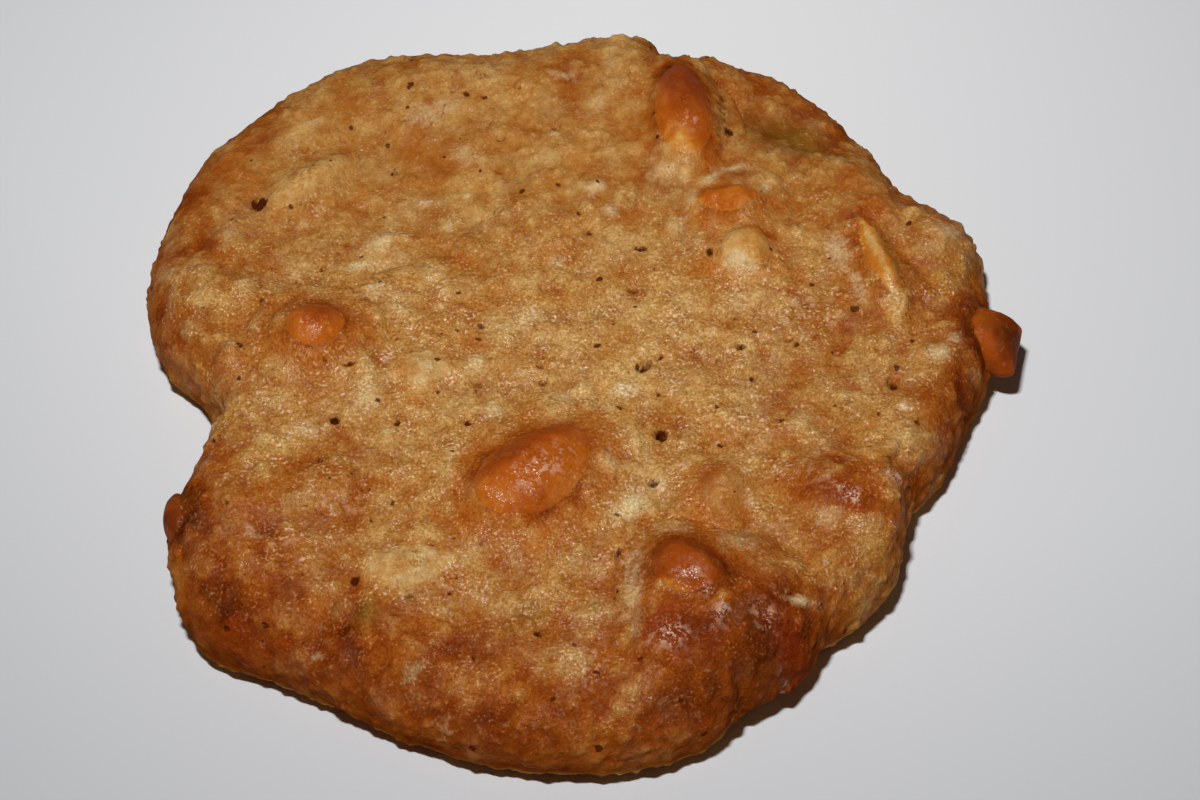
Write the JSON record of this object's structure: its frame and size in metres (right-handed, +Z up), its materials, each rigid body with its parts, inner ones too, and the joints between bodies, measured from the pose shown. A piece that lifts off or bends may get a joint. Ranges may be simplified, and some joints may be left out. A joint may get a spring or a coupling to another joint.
{
  "type": "peanut cookie",
  "caption": "Round, uneven baked peanut cookie with a flat base, a browned rim and roasted peanut pieces standing out of its lumpy top.",
  "frame": {"origin": "middle of the flat base, on the surface the cookie rests on", "axes": "+Z up out of the lumpy top, -Y towards the thick browned front rim, +X to the right seen from that front"},
  "size_m": [0.0772, 0.0765, 0.0128],
  "materials": {
    "dough": "baked peanut dough, golden, granular and slightly oily, browned at the rim",
    "browned_peanut": "deep roasted peanut under a thin glossy skin of dough",
    "golden_peanut": "golden roasted peanut, satin",
    "pale_peanut": "pale cut peanut, waxy satin"
  },
  "bodies": {
    "root": {"dough": "dough", "peanut_middle": "browned_peanut", "peanut_back": "browned_peanut", "peanut_left": "browned_peanut", "peanut_mound": "browned_peanut", "peanut_right_edge": "browned_peanut", "peanut_folded": "golden_peanut", "peanut_yellow": "pale_peanut", "peanut_long_flake": "golden_peanut", "peanut_right_front": "browned_peanut", "peanut_front_rim": "browned_peanut", "peanut_left_edge": "browned_peanut", "peanut_front_pale": "pale_peanut", "peanut_back_left": "pale_peanut", "peanut_centre_pale": "pale_peanut", "peanut_orange": "golden_peanut"}
  },
  "joints": []
}
